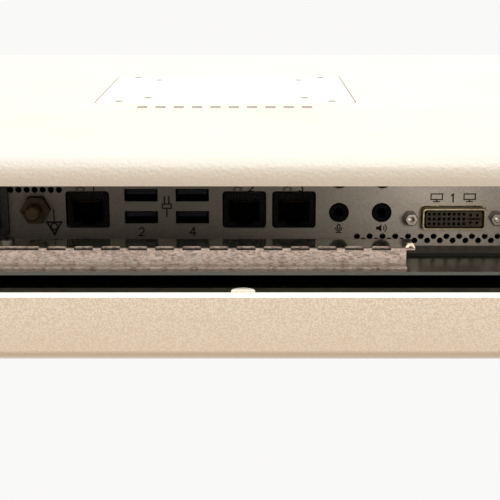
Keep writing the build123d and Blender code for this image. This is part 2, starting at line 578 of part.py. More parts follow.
# ---------------------------------------------------------------- electronics
def mainboard():
    """Circuit board with its own small parts: coils, capacitors, sockets and the clock battery."""
    board = block(BOARD_X, (BOARD_Y - BOARD_T, BOARD_Y), BOARD_Z)
    board -= [rod("Y", p, 1.7, (BOARD_Y - 4, BOARD_Y + 2)) for p in BOARD_HOLES]
    on_board = BOARD_Y - 0.1
    parts = [block((-10 + 9 * i, -3 + 9 * i), (on_board, BOARD_Y + 4), (-122, -115)) for i in range(6)]
    parts += [rod("Y", (12 + 8 * i, -104), 3.0, (on_board, BOARD_Y + 7)) for i in range(6)]
    parts.append(block((20, 34), (on_board, BOARD_Y + 1.4), (-80, -66)))
    parts.append(block((46, 58), (on_board, BOARD_Y + 9), (14, 27)))
    parts += [block((-70, -44), (on_board, BOARD_Y + 1.8), (19, 24))]
    parts += [rod("Y", (38, -30), 11.0, (on_board, BOARD_Y + 5))]
    return fuse(board, *parts)


def board_standoffs():
    """Hexagon posts between chassis and mainboard."""
    posts = []
    for x, z in BOARD_HOLES:
        post = shelf_post(x, z, BOARD_Y - BOARD_T)
        posts.append(post - rod("Y", (x, z), 1.55, (SHELF_Y + 1, BOARD_Y)))
    return posts


def processor():
    lid = block((CPU_X - 19, CPU_X + 19), (BOARD_Y, BOARD_Y + 1.6), (CPU_Z - 19, CPU_Z + 19))
    return fuse(lid, block((CPU_X - 14, CPU_X + 14), (BOARD_Y + 1.5, BOARD_Y + 4.0), (CPU_Z - 14, CPU_Z + 14)))


def heat_sink():
    """Finned block on the processor; the blower pushes air along the fins towards the bay's vents."""
    base = block(SINK_X, (SINK_Y[0], SINK_Y[0] + 4), SINK_Z)
    fins = []
    count, t = 18, 1.2
    pitch = (SINK_X[1] - SINK_X[0] - t) / (count - 1)
    for i in range(count):
        x = SINK_X[0] + pitch * i
        fins.append(block((x, x + t), (SINK_Y[0] + 3.9, SINK_Y[1]), SINK_Z))
    return fuse(base, *fins)


def blower_housing():
    """Scroll case: round chamber, intake on the back, outlet towards the heat sink, shaft in the middle."""
    (cx, cz), s = FAN_C, FAN_SIDE / 2
    y = (FAN_BASE_Y, FAN_BASE_Y + FAN_H)
    case = block((cx - s, cx + s), y, (cz - s, cz + s))
    case -= rod("Y", (cx, cz), ROTOR_R + 3, (y[0] + 1.5, y[1] - 1.5))
    case -= block((cx - 30, cx + ROTOR_R + 3), (y[0] + 1.5, y[1] - 1.5), (cz - s - 1, cz))
    case -= rod("Y", (cx, cz), 23.0, (y[1] - 2, y[1] + 1))
    case += rod("Y", (cx, cz), SHAFT_R, (y[0] + 1, y[1] - 3))
    for sx in (-1, 1):
        case += rod("Y", (cx + sx * (s - 3), cz + s - 3), 2.5, (SHELF_Y, y[0] + 0.5))
        case += rod("Y", (cx + sx * (s - 3), cz - s + 3), 2.5, (BOARD_Y, y[0] + 0.5))
    return case


def blower_rotor():
    """Hub, back disc and straight blades on one running bore."""
    cx, cz = FAN_C
    y0, y1 = FAN_BASE_Y + 3.0, FAN_BASE_Y + FAN_H - 3.5
    rotor = rod("Y", (cx, cz), HUB_R, (y0, y1)) + rod("Y", (cx, cz), ROTOR_R, (y0, y0 + 1.2))
    for i in range(BLADES):
        blade = block((HUB_R - 1, ROTOR_R - 1), (y0 + 0.5, y1), (-0.6, 0.6))
        rotor += Pos(cx, 0, cz) * Rot(Y=360.0 / BLADES * i) * blade
    return rotor - rod("Y", (cx, cz), SHAFT_R + RUNNING, (y0 - 1, y1 + 1))


def memory_modules():
    """Two memory modules in angled-latch sockets, lying flat."""
    sticks = []
    for i in range(2):
        z = -16.0 + 22.0 * i
        pcb = block((-146, -84), (BOARD_Y + 2.4, BOARD_Y + 3.6), (z - 8, z + 9))
        socket = block((-147, -83), (BOARD_Y, BOARD_Y + 5.0), (z + 8.8, z + 12.5))
        chips = [block((-140 + 14 * k, -130 + 14 * k), (BOARD_Y + 3.5, BOARD_Y + 4.6), (z - 6, z + 6))
                 for k in range(4)]
        sticks.append(fuse(pcb, socket, *chips))
    return sticks


def wireless_card():
    """Radio card in its socket, flat over the mainboard."""
    pcb = block((30, 60), (BOARD_Y + 2.0, BOARD_Y + 2.8), (-14, 8))
    socket = block((34, 56), (BOARD_Y, BOARD_Y + 3.6), (-17, -13.5))
    can = block((33, 52), (BOARD_Y + 2.7, BOARD_Y + 4.4), (-10, 5))
    return fuse(pcb, socket, can)


def drive_bracket():
    (x0, x1), y = DRIVE_X, SHELF_Y
    tray = block((x0, x1), (y, y + 1), DRIVE_Z)
    for x in ((x0, x0 + 1), (x1 - 1, x1)):
        tray += block(x, (y, y + 9), DRIVE_Z)
    return tray


def drive():
    x, z = (DRIVE_X[0] + 2.6, DRIVE_X[1] - 3.5), (DRIVE_Z[0] + 4, DRIVE_Z[1] - 4)
    return rounded(x, (SHELF_Y + 1.2, SHELF_Y + 8.2), z, 2.5, Axis.Y)


def psu_cage():
    """Perforated steel box around the mains power supply, closed by the chassis plate."""
    back = PSU_BACK_Y
    cage = block(PSU_X, (SHELF_Y, back), PSU_Z)
    cage -= block((PSU_X[0] + 1, PSU_X[1] - 1), (SHELF_Y - 1, back - 1), (PSU_Z[0] + 1, PSU_Z[1] - 1))
    slots = [block((PSU_X[0] + 14 + 10 * i, PSU_X[0] + 18 + 10 * i), (back - 3, back + 1), (z, z + 34))
             for i in range(8) for z in (-96, -44, 8)]
    slots.append(block((105, 115), (CABLE_Y - 4.5, CABLE_Y + 4.5), (PSU_Z[1] - 3, PSU_Z[1] + 3)))
    return cage - slots


def psu_board():
    """Power supply board on its feet, with transformer, choke, capacitors and the outlet of the cable."""
    x, z = (PSU_X[0] + 3, PSU_X[1] - 3), (PSU_Z[0] + 3, PSU_Z[1] - 3)
    y = SHELF_Y + 6.6
    parts = [rod("Y", (px, pz), 2.2, (SHELF_Y, y)) for px in (x[0] + 5, x[1] - 5) for pz in (z[0] + 5, z[1] - 5)]
    parts.append(block((120, 156), (y - 0.1, y + 24), (-40, -6)))
    parts.append(block((104, 122), (y - 0.1, y + 16), (-90, -68)))
    parts += [rod("Y", (150, -78 + 22 * i), 9.0, (y - 0.1, y + 25)) for i in range(2)]
    parts += [rod("Y", (112 + 14 * i, 40), 5.0, (y - 0.1, y + 18)) for i in range(4)]
    parts += [block((104, 116), (y - 0.1, CABLE_Y + 4), (z[1] - 8, z[1] - 0.5))]
    return fuse(block(x, (y - 1.6, y), z), *parts)


def speaker(side):
    """Enclosed speaker that fires through the slots in the bottom wall."""
    x = tuple(side * v for v in SPEAKER_X)
    box = rounded(x, (SHELF_Y + 0.3, -17.0), SPEAKER_Z, 3, Axis.Z)
    cx, cy = side * 233.0, -31.0
    box -= rod("Z", (cx, cy), 10.0, (SPEAKER_Z[0] - 1, SPEAKER_Z[0] + 2.5))
    cone = Pos(cx, cy, SPEAKER_Z[0] + 1.5) * Cone(9.0, 3.5, 3.0)
    return fuse(box, cone)


def power_cable():
    """Bundle from the power supply to the mainboard."""
    path = FilletPolyline((110, CABLE_Y, PSU_Z[1] - 3.5), (110, CABLE_Y, 92), (84, -25, 96), (52, -25, 78),
                          (52, -32.4, 50), (52, -32.5, 27.1), radius=[9, 12, 14, 14])
    return sweep((Plane(path @ 0, z_dir=path % 0) * Circle(3.0)), path)


def display_cable():
    """Flat flex from the mainboard through the chassis plate to the display."""
    t = 0.6
    y = (BOARD_Y + 0.4, BOARD_Y + 0.4 + t)
    run = block((-70, -44), y, (24.0, 70.6))
    drop = block((-70, -44), (LCD_Y[1] + 0.2, y[1]), (70, 70.6))
    tail = block((-70, -44), (LCD_Y[1] + 0.2, LCD_Y[1] + 0.2 + t), (70, 96))
    return fuse(run, drop, tail)


# ---------------------------------------------------------------- keys
def key_cap(x):
    """Key with a retaining flange behind the bezel and a stem towards its switch."""
    w, h = KEY_SIZE[0] / 2, KEY_SIZE[1] / 2
    cap = rounded((x - w, x + w), (FRONT_Y - KEY_PROUD, FRONT_Y + WALL + 0.6), (KEY_Z - h, KEY_Z + h), 1.6, Axis.Y)
    cap = fillet(cap.faces().sort_by(Axis.Y)[0].edges(), 0.5)
    flange = block((x - w - 1.2, x + w + 1.2), (FRONT_Y + WALL + 0.3, FRONT_Y + WALL + 1.2),
                   (KEY_Z - h - 1.2, KEY_Z + h + 1.2))
    return fuse(cap, flange, rod("Y", (x, KEY_Z), 1.5, (FRONT_Y + WALL, KEY_BOARD_Y - 2.7)))


def power_button():
    cap = rod("Y", (POWER_X, KEY_Z), POWER_R, (FRONT_Y - KEY_PROUD, FRONT_Y + WALL + 0.6))
    cap = fillet(cap.faces().sort_by(Axis.Y)[0].edges(), 0.8)
    flange = rod("Y", (POWER_X, KEY_Z), POWER_R + 1.4, (FRONT_Y + WALL + 0.3, FRONT_Y + WALL + 1.2))
    return fuse(cap, flange, rod("Y", (POWER_X, KEY_Z), 2.0, (FRONT_Y + WALL, KEY_BOARD_Y - 2.7)))


def key_board():
    """Board behind the keys, with one small switch per key."""
    board = block((138, 262), (KEY_BOARD_Y, KEY_BOARD_Y + 1.6), (KEY_Z - 6.5, KEY_Z + 6.5))
    parts = [block((x - 3, x + 3), (KEY_BOARD_Y - 1.5, KEY_BOARD_Y + 0.1), (KEY_Z - 3, KEY_Z + 3))
             for x in [*KEYS.values(), POWER_X]]
    return fuse(board, *parts)


def light_pipe():
    return rod("Y", (LIGHT_X, KEY_Z), LIGHT_R, (FRONT_Y - 0.1, KEY_BOARD_Y))


def main():
    save("back_cover", back_cover())
    save("front_bezel", front_bezel())
    save("cover_glass", cover_glass())
    save("glass_seal", glass_seal())
    save("lcd_cell", lcd_cell())
    save("lcd_frame", lcd_frame())
    save("backlight", backlight())
    save("lcd_brackets", *lcd_brackets())
    save("led_driver_board", led_driver())
    save("chassis_plate", chassis_plate())
    save("io_panel", io_panel())
    save("panel_foot", panel_foot())
    save("cable_rail", cable_rail())
    save("bay_seal", bay_seal())
    save("vesa_bracket", vesa_bracket())
    save("vesa_nuts", *vesa_nuts())
    for name, x in LAN_X.items():
        save(f"lan_jack_{name}", lan_jack(x))
    save("lan_contacts", *lan_contacts())
    for name, x in USB_X.items():
        save(f"usb_shell_{name}", usb_shell(x))
    save("usb_tongues", *usb_tongues())
    for name, x in AUDIO_X.items():
        save(f"audio_sockets_{name}", audio_stack(x))
    for name, x in DVI_X.items():
        save(f"video_shell_{name}", dvi_shell(x))
    save("video_cores", *[dvi_core(x) for x in DVI_X.values()])
    save("video_jackscrews", *jackscrews())
    save("ac_inlet", ac_inlet())
    save("inlet_pins", *inlet_pins())
    save("rocker_frame", rocker_frame())
    save("mains_rocker", mains_rocker())
    save("earth_pin", earth_pin())
    save("earth_nuts", *earth_nuts())
    save("mainboard", mainboard())
    save("standoffs", *board_standoffs(), rail_spacer())
    spots = [(x, BOARD_Y, z) for x, z in BOARD_HOLES] + [(RAIL_SCREW[0], RAIL_Y, RAIL_SCREW[1])]
    save("inner_screws", *[pan_screw(*p, 5.0) for p in spots])
    save("processor", processor())
    save("heat_sink", heat_sink())
    save("blower_housing", blower_housing())
    save("blower_rotor", blower_rotor())
    save("memory_modules", *memory_modules())
    save("wireless_card", wireless_card())
    save("drive_bracket", drive_bracket())
    save("drive", drive())
    save("psu_cage", psu_cage())
    save("psu_board", psu_board())
    save("speaker_left", speaker(-1))
    save("speaker_right", speaker(1))
    save("power_cable", power_cable())
    save("display_cable", display_cable())
    spots = [(x, SHELF_Y + 3.2, z) for x, z in COVER_SCREWS] + [(x, SHELF_Y, z) for x, z in BEZEL_SCREWS]
    save("housing_screws", *[pan_screw(*p, 9.0) for p in spots])
    for name, x in KEYS.items():
        save(f"key_{name}", key_cap(x))
    save("power_button", power_button())
    save("key_board", key_board())
    save("light_pipe", light_pipe())


main()
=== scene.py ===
# %% [markdown]
# An all-in-one computer, seen from below and behind.
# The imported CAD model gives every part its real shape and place. This lesson gives each part the finish
# that it has on the real object, and adds the small things that are printed on it.
# All sizes are metres, in the frame of the model: +X right, +Y out of the back, +Z up.

# %% Load the fixed frame
import json
from math import cos, pi, radians, sin

import bmesh
import bpy
from mathutils import Matrix, Vector


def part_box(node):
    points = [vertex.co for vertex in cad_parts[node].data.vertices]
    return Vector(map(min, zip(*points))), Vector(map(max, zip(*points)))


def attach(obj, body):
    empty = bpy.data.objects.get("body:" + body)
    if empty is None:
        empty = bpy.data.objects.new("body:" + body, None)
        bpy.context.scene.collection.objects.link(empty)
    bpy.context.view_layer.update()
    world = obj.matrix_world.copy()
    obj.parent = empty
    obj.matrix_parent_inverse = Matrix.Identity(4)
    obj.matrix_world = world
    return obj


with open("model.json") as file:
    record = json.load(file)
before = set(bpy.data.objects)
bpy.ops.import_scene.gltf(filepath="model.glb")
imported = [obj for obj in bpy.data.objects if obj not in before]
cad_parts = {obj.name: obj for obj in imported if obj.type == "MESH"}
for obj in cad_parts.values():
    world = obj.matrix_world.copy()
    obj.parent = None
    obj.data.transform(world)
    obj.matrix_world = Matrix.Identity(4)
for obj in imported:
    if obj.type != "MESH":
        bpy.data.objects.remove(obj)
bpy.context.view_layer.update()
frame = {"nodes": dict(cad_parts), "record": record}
MM = 0.001

# %% [markdown]
# The computer hangs on an arm by the square plate in its back, with its screen upright.
# The camera looks up into the connector bay, almost along the panel's own axis, through a long lens.
# Its place is worked out from the bay: straight under the middle ports, and a little behind the back cover.

# %% Camera
PITCH = radians(14.5)          # the camera leans this far towards the screen
LENS, SENSOR = 86.4, 36.0      # millimetres
ASIDE = -11.5 * MM             # from the middle of the panel
BEHIND = 73.4 * MM             # from the back cover's outer face
BELOW = 455.6 * MM             # from the panel
PANEL_T = 1.2 * MM
panel_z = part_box("io_panel")[1].z - PANEL_T
back_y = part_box("back_cover")[1].y
camera = bpy.data.objects.new("camera", bpy.data.cameras.new("camera"))
bpy.context.scene.collection.objects.link(camera)
camera.data.lens = LENS
camera.data.sensor_width = SENSOR
camera.data.clip_start = 0.01
camera.location = (ASIDE, back_y + BEHIND, panel_z - BELOW)
look = Vector((0.0, -sin(PITCH), cos(PITCH)))
up = Vector((0.0, cos(PITCH), sin(PITCH)))
right = look.cross(up)
camera.matrix_world = Matrix.Translation(camera.location) @ Matrix((right, up, -look)).transposed().to_4x4()
bpy.context.scene.camera = camera
print("camera at", [round(v, 4) for v in camera.location])

# %% [markdown]
# Soft studio light comes mostly from a white world, as in a light tent. White plastic wants a plain view
# transform: a filmic one would turn it grey. One lamp lifts the back cover and another the screen. A low
# lamp behind the computer reaches past the back cover to the bezel's rim, and a very small one under the
# bay lights one end of the panel and fades towards the other. These two are linked to the few pieces that
# they are for, so that nothing beside them burns out. The floor is warm, and what it sends up tints every
# face that looks down.

# %% Lights, world and floor
def lamp(name, place, target, size, power, colour):
    """An area lamp at a place, aimed at a target. The camera doesn't see it."""
    data = bpy.data.lights.new(name, "AREA")
    data.shape = "RECTANGLE"
    data.size, data.size_y = size
    data.energy = power
    data.color = colour
    lamp_object = bpy.data.objects.new(name, data)
    lamp_object.location = place
    aim = Vector(target) - Vector(place)
    lamp_object.rotation_euler = aim.to_track_quat("-Z", "Y").to_euler()
    lamp_object.visible_camera = False
    bpy.context.scene.collection.objects.link(lamp_object)
    return lamp_object


def only_on(lamp_object, *nodes):
    """Lets a lamp light these CAD nodes alone."""
    lit_nodes = bpy.data.collections.new(lamp_object.name + "_nodes")
    for node in nodes:
        lit_nodes.objects.link(frame["nodes"][node])
    lamp_object.light_linking.receiver_collection = lit_nodes


lamp("back_key", (-0.4, 1.9, 0.40), (0, 0, -0.12), (1.4, 0.9), 27, (1.0, 1.0, 0.995))
lamp("front_fill", (0.9, -2.0, 0.9), (0, 0, 0), (1.8, 1.4), 8, (0.97, 0.985, 1.0))
rim_lamp = lamp("rim_light", (-0.3, 1.9, -0.60), (0, -0.03, -0.205), (1.4, 0.20), 54, (1.0, 1.0, 1.0))
only_on(rim_lamp, "front_bezel")
bay_lamp = lamp("bay_light", (-0.090, back_y - 0.014, panel_z - 0.084), (-0.088, back_y - 0.024, panel_z),
                (0.03, 0.02), 0.030, (1.0, 0.86, 0.73))
bay_lamp.data.spread = radians(100)
only_on(bay_lamp, "io_panel", "video_shell_1", "video_jackscrews")

FLOOR_Z = -0.80
FLOOR_HALF = 14.0
world = bpy.data.worlds.new("studio")
bpy.context.scene.world = world
world.use_nodes = True
world.node_tree.nodes["Background"].inputs["Color"].default_value = (1.0, 0.995, 0.985, 1)
world.node_tree.nodes["Background"].inputs["Strength"].default_value = 0.95
bpy.context.scene.view_settings.view_transform = "Standard"

floor_mesh = bpy.data.meshes.new("floor")
floor_mesh.from_pydata([(sx * FLOOR_HALF, sy * FLOOR_HALF, FLOOR_Z)
                        for sx, sy in ((-1, -1), (1, -1), (1, 1), (-1, 1))], [], [(0, 1, 2, 3)])
floor = bpy.data.objects.new("floor", floor_mesh)
bpy.context.scene.collection.objects.link(floor)

# %% [markdown]
# A finish is a graph of shader nodes. Written with Blender's own calls, a graph hides what it works out.
# The class below wraps one socket and lets Python's arithmetic build the Math nodes, so a finish reads
# like a formula. Every other node comes from one method, which takes the node's type, its settings and
# what goes into its sockets.

# %% A socket that knows arithmetic
class Wire:
    """One output socket of a finish's graph."""

    def __init__(self, finish, socket):
        self.finish = finish
        self.socket = socket

    def math(self, operation, *values, clamp=False):
        settings = {"operation": operation, "use_clamp": clamp}
        return self.finish.node("Math", settings, dict(enumerate((self, *values))))

    def __add__(self, other):
        return self.math("ADD", other)

    def __radd__(self, other):
        return self.math("ADD", other)

    def __mul__(self, other):
        return self.math("MULTIPLY", other)

    def __rmul__(self, other):
        return self.math("MULTIPLY", other)

    def __sub__(self, other):
        return self.math("SUBTRACT", other)

    def __rsub__(self, other):
        return self.finish.node("Math", {"operation": "SUBTRACT"}, {0: other, 1: self})

    def __gt__(self, other):
        return self.math("GREATER_THAN", other)

    def __lt__(self, other):
        return self.math("LESS_THAN", other)

    def step(self, low, high):
        """0 below low, 1 above high, smooth between."""
        return self.finish.node("MapRange", {"interpolation_type": "SMOOTHSTEP"},
                                {"Value": self, "From Min": low, "From Max": high})


# %% A finish
class Finish:
    """A material with one Principled shader, whose constants are set on its own sockets."""

    def __init__(self, name, **constants):
        self.material = bpy.data.materials.new(name)
        self.material.use_nodes = True
        self.tree = self.material.node_tree
        self.shader = self.tree.nodes["Principled BSDF"]
        for socket, value in constants.items():
            self.shader.inputs[socket.replace("_", " ").title().replace("Ior", "IOR")].default_value = value

    def node(self, kind, settings=None, inputs=None, output=0):
        """Adds a node: its settings first, then the values or wires of its sockets."""
        made = self.tree.nodes.new("ShaderNode" + kind)
        for name, value in (settings or {}).items():
            if name == "stops":
                ramp = made.color_ramp
                for place, colour in value[2:]:
                    ramp.elements.new(place)
                ordered = sorted(value, key=lambda stop: stop[0])
                for element, (place, colour) in zip(ramp.elements, ordered):
                    element.position = place
                    element.color = (*colour, 1)
            else:
                setattr(made, name, value)
        for name, value in (inputs or {}).items():
            if isinstance(value, Wire):
                self.tree.links.new(value.socket, made.inputs[name])
            else:
                made.inputs[name].default_value = value
        return Wire(self, made.outputs[output])

    def place(self, stretch=(1, 1, 1), turn=(0, 0, 0)):
        """The point on the object, in metres, which may be stretched and turned."""
        point = self.node("TexCoord", output="Object")
        return self.node("Mapping", None, {"Vector": point, "Scale": stretch, "Rotation": turn})

    def noise(self, grain, detail=2.0, point=None, roughness=0.5):
        """Soft noise from 0 to 1, whose lumps are about one grain across, in metres."""
        return self.node("TexNoise", None, {"Vector": point or self.place(), "Scale": 1 / grain,
                                            "Detail": detail, "Roughness": roughness})

    def cells(self, grain, feature="F1", point=None, output="Distance"):
        return self.node("TexVoronoi", {"feature": feature},
                         {"Vector": point or self.place(), "Scale": 1 / grain}, output)

    def ramp(self, wire, *stops):
        return self.node("ValToRGB", {"stops": stops}, {"Fac": wire})

    def blend(self, mask, first, second):
        """First colour where the mask is 0, second where it is 1."""
        def four(colour):
            return colour if isinstance(colour, Wire) else (*colour, 1)
        return self.node("MixRGB", None, {"Fac": mask, "Color1": four(first), "Color2": four(second)})

    def part_of(self, vector, name):
        """The X, Y or Z of a vector."""
        return self.node("SeparateXYZ", None, {"Vector": vector}, output=name)

    def axis(self, name):
        """One coordinate of the point on the object."""
        return self.part_of(self.node("TexCoord", output="Object"), name)

    def facing(self, name):
        """One coordinate of the direction that the surface faces."""
        return self.part_of(self.node("NewGeometry", output="Normal"), name)

    def worn(self, grain=0.6 * MM):
        """A mask that is 1 on sharp outer edges, where a finish rubs off first."""
        edge = self.node("NewGeometry", output="Pointiness")
        return (edge - 0.5).math("MULTIPLY", 14.0, clamp=True) * self.noise(grain).step(0.4, 0.6)

    def bump(self, height, depth, under=None):
        """A bump of that depth in metres where height runs from 0 to 1."""
        inputs = {"Height": height, "Distance": depth, "Strength": 1.0}
        if under:
            inputs["Normal"] = under
        return self.node("Bump", None, inputs)

    def set(self, **wires):
        """Links wires to the shader: colour, roughness, metallic, normal and the like."""
        for name, wire in wires.items():
            self.tree.links.new(wire.socket, self.shader.inputs[name.replace("_", " ").title()])
        return self


finished = []


def dress(finish, *nodes):
    """Gives CAD nodes or new pieces a finish in place of what they have."""
    for node in nodes:
        piece = frame["nodes"][node] if isinstance(node, str) else node
        piece.data.materials.clear()
        piece.data.materials.append(finish.material)
        finished.append(piece.name)


# %% [markdown]
# The floor is a pale matt sheet, a little uneven, so that it takes soft shadows and shows no pattern.

# %% Floor finish
sheet = Finish("pale_floor", roughness=0.85)
cloud = sheet.noise(0.35, 3)
sheet.set(base_color=sheet.ramp(cloud, (0.3, (0.62, 0.53, 0.435)), (0.7, (0.66, 0.57, 0.475))))
floor.data.materials.append(sheet.material)

# %% [markdown]
# The housing is moulded in warm white plastic. The mould's skin has a fine leather grain, about a
# millimetre across, which shows where light grazes the rounded edges. It could be a carved mesh, but that
# is thousands of faces for something so shallow, so two sizes of noise make a bump of a few hundredths.
# Hands leave it glossier in patches, and dust keeps to the low places of the grain. Faces that look down
# are given a yellower tone, painted warm light bounced up from the floor, so the tone also follows the
# direction a face looks in.

# %% Moulded white plastic
def moulded_white(name, pale, deep, under, grain=1.0 * MM, depth=0.05 * MM):
    skin = Finish(name, ior=1.46, coat_weight=0.06, coat_roughness=0.35, subsurface_weight=0.04,
                  subsurface_scale=0.002)
    leather = skin.noise(grain, 2.5, roughness=0.6)
    pores = skin.cells(grain * 0.8, "SMOOTH_F1")
    patches = skin.noise(55 * MM, 3)
    tone = skin.blend(patches.step(0.35, 0.7), pale, deep)
    # Painted bounce light: faces that look down take the warm third tone.
    tone = skin.blend((0 - skin.facing("Z")).step(0.35, 0.95), tone, under)
    low_places = (0.46 - leather).math("MULTIPLY", 2.2, clamp=True)
    dusty = skin.blend(low_places, tone, tuple(0.93 * c for c in under))
    rubbed = skin.blend(skin.worn() * 0.5, dusty, (0.93, 0.91, 0.87))
    return skin.set(base_color=rubbed, roughness=0.5 - patches * 0.14 + leather * 0.1,
                    normal=skin.bump(leather * 0.7 + pores * 0.5, depth))


# The third colour of each skin is painted warm bounce light on faces that look down.
cover_skin = moulded_white("cover_white", (0.74, 0.73, 0.675), (0.705, 0.69, 0.63), (0.735, 0.71, 0.645),
                           grain=1.5 * MM, depth=0.26 * MM)
bezel_skin = moulded_white("bezel_white", (0.78, 0.765, 0.71), (0.745, 0.725, 0.665), (0.665, 0.575, 0.47),
                           grain=0.8 * MM, depth=0.006 * MM)
dress(cover_skin, "back_cover")
dress(bezel_skin, "front_bezel")

# %% [markdown]
# The connector panel is steel sheet with a thin satin grey coat. The coat is nearly smooth, takes faint
# finger marks, and is rubbed to bare metal at the rims of the holes where plugs scrape it.

# %% Satin grey panel
def satin_panel():
    coat = Finish("panel_grey", metallic=0.1, specular_ior_level=0.4)
    fine = coat.noise(0.3 * MM, 1)
    smear = coat.noise(16 * MM, 3, coat.place((1, 2.5, 1)))
    tone = coat.blend(smear.step(0.3, 0.75), (0.106, 0.106, 0.098), (0.092, 0.092, 0.086))
    rim = coat.worn(0.4 * MM)
    return coat.set(base_color=coat.blend(rim * 0.6, tone, (0.16, 0.15, 0.135)),
                    roughness=0.42 + smear * 0.12 + fine * 0.04,
                    normal=coat.bump(fine, 0.0025 * MM))


dress(satin_panel(), "io_panel")


def foot_grey_with_painted_shadow():
    """The strip's sawn edge, which looks down, is painted black as a painted shadow line."""
    strip = Finish("foot_grey", metallic=0.1)
    smear = strip.noise(18 * MM, 3, strip.place((1, 3, 3)))
    tone = strip.blend(smear.step(0.3, 0.7), (0.085, 0.076, 0.060), (0.066, 0.060, 0.049))
    # Painted shadow: faces that look along +Y are made black.
    return strip.set(base_color=strip.blend(strip.facing("Y") > 0.5, (0.012, 0.012, 0.011), tone),
                     roughness=0.42 + smear * 0.14, normal=strip.bump(smear, 0.02 * MM))


dress(foot_grey_with_painted_shadow(), "panel_foot")

# %% [markdown]
# Bare sheet steel comes bright from the roll, with long faint lines along the rolling direction and a haze
# of small scratches. Lines are noise stretched along one axis. A thin wavy bump bends the reflections, as
# sheet that has been folded does.

# %% Bright rolled steel
def rolled_steel(name, tone, shade, roughness=0.2, wave=0.02 * MM, along=(1, 40, 40), edge=None):
    steel = Finish(name, metallic=1.0)
    lines = steel.noise(60 * MM, 5, steel.place(along), 0.65)
    haze = steel.noise(3 * MM, 4)
    waves = steel.noise(9 * MM, 1)
    colour = steel.blend((lines * 0.6 + haze * 0.4).step(0.35, 0.65), tone, shade)
    # Painted shade: faces that look down can take a darker colour of their own.
    if edge:
        colour = steel.blend(steel.facing("Z") < -0.5, colour, edge)
    return steel.set(base_color=colour, roughness=roughness + lines * 0.12 + haze * 0.08,
                     normal=steel.bump(lines, 0.004 * MM, steel.bump(waves, wave)))


# The ledge's down-facing faces get a darker, greener painted shade.
dress(rolled_steel("ledge_steel", (0.21, 0.205, 0.18), (0.17, 0.165, 0.145), 0.14,
                   edge=(0.13, 0.143, 0.135)), "chassis_plate")
dress(rolled_steel("bracket_steel", (0.62, 0.62, 0.62), (0.50, 0.50, 0.51), 0.28),
      "lcd_brackets", "drive_bracket", "psu_cage")

# %% [markdown]
# The cable-tie rail is thin soft steel that has been handled: its upright leaf is dented all over. Its
# colour is a painted pinkish reflection mottled by the dents, with a painted bright highlight on sharp
# edges, and the flat leaf has a painted grey reflection; both carry real stains. Dents are cells of noise
# whose bump is stronger than anything else here.

# %% Dented rail
def dented_steel():
    leaf = Finish("rail_steel", metallic=0.85)
    upright = leaf.facing("Z").math("ABSOLUTE").step(0.35, 0.75)
    skewed = leaf.place((0.7, 1.8, 1.8), (0, 0, radians(35)))
    dents = leaf.noise(1.1 * MM, 4, skewed, 0.62)
    flakes = leaf.cells(1.3 * MM, "SMOOTH_F1", skewed)
    stains = leaf.noise(7 * MM, 3)
    # Painted reflection: the upright leaf's pinkish colour, mottled by the dents, stands in for reflected
    # light.
    upright_painted_reflection_and_stains = leaf.blend(dents.step(0.32, 0.66), (0.36, 0.29, 0.28), (0.99, 0.875, 0.86))
    upright_painted_reflection_and_stains = leaf.blend(stains.step(0.5, 0.8) * 0.4, upright_painted_reflection_and_stains, (0.38, 0.32, 0.29))
    # Painted highlight: sharp edges of the upright leaf are lifted to near white.
    upright_painted_reflection_and_stains = leaf.blend(leaf.worn(2.5 * MM) * 0.55, upright_painted_reflection_and_stains, (0.97, 0.96, 0.94))
    # Painted reflection: the flat leaf's grey stands in for what it reflects, with real stains.
    flat_painted_reflection_and_stains = leaf.blend(stains.step(0.3, 0.7), (0.46, 0.45, 0.41), (0.38, 0.375, 0.34))
    return leaf.set(base_color=leaf.blend(upright, flat_painted_reflection_and_stains, upright_painted_reflection_and_stains),
                    roughness=0.08 + upright * (0.3 + dents * 0.25) + stains * 0.05,
                    normal=leaf.bump(upright * (dents * 0.8 + flakes * 0.4), 0.16 * MM))


dress(dented_steel(), "cable_rail")

# %% [markdown]
# Plated parts: plug shells and screws are nickel, bright and slightly warm. The earth stud's nut is older
# plating that has gone brown in its corners, so its colour follows two sizes of noise.

# %% Nickel, bright and tarnished
def nickel(name, bright, dull, roughness=0.2, stain=0.25):
    plate = Finish(name, metallic=1.0)
    film = plate.noise(1.6 * MM, 4)
    specks = plate.noise(0.35 * MM, 2)
    colour = plate.blend((film * 0.7 + specks * 0.3).step(0.52 - stain, 0.75), bright, dull)
    return plate.set(base_color=colour, roughness=roughness + film * 0.2 + specks * 0.06,
                     normal=plate.bump(film * 0.5 + specks * 0.5, 0.012 * MM))


dress(nickel("bright_nickel", (0.22, 0.22, 0.21), (0.12, 0.12, 0.11)), "video_jackscrews", "inlet_pins",
      "inner_screws", "housing_screws", "standoffs", "vesa_nuts")
dress(nickel("shell_nickel", (0.17, 0.155, 0.115), (0.09, 0.08, 0.052), 0.34),
      "video_shell_1", "video_shell_2")
# The data ports' nickel shells are made near-black: painted shade of the ports' insides.
dress(nickel("dull_tin", (0.035, 0.035, 0.035), (0.022, 0.022, 0.024), 0.5),
      "usb_shell_1_2", "usb_shell_3_4")
dress(nickel("tarnished_nickel", (0.070, 0.055, 0.040), (0.015, 0.012, 0.009), 0.55, 0.02), "earth_pin",
      "earth_nuts")

# %% [markdown]
# Sockets, switches and the blower are black plastic with a fine matt grain. The network and audio sockets
# are made blacker than plastic, painted shade of the ports' insides. The tongues in the data ports are dyed
# blue and darkened with painted shade, and the cores of the video sockets, white plastic, are painted a
# dull olive as painted shade. The display's tray and frame are black too, so that no light leaks past the
# cover glass, and are made near-black as painted shade of the gap under the ledge. The keys are white.

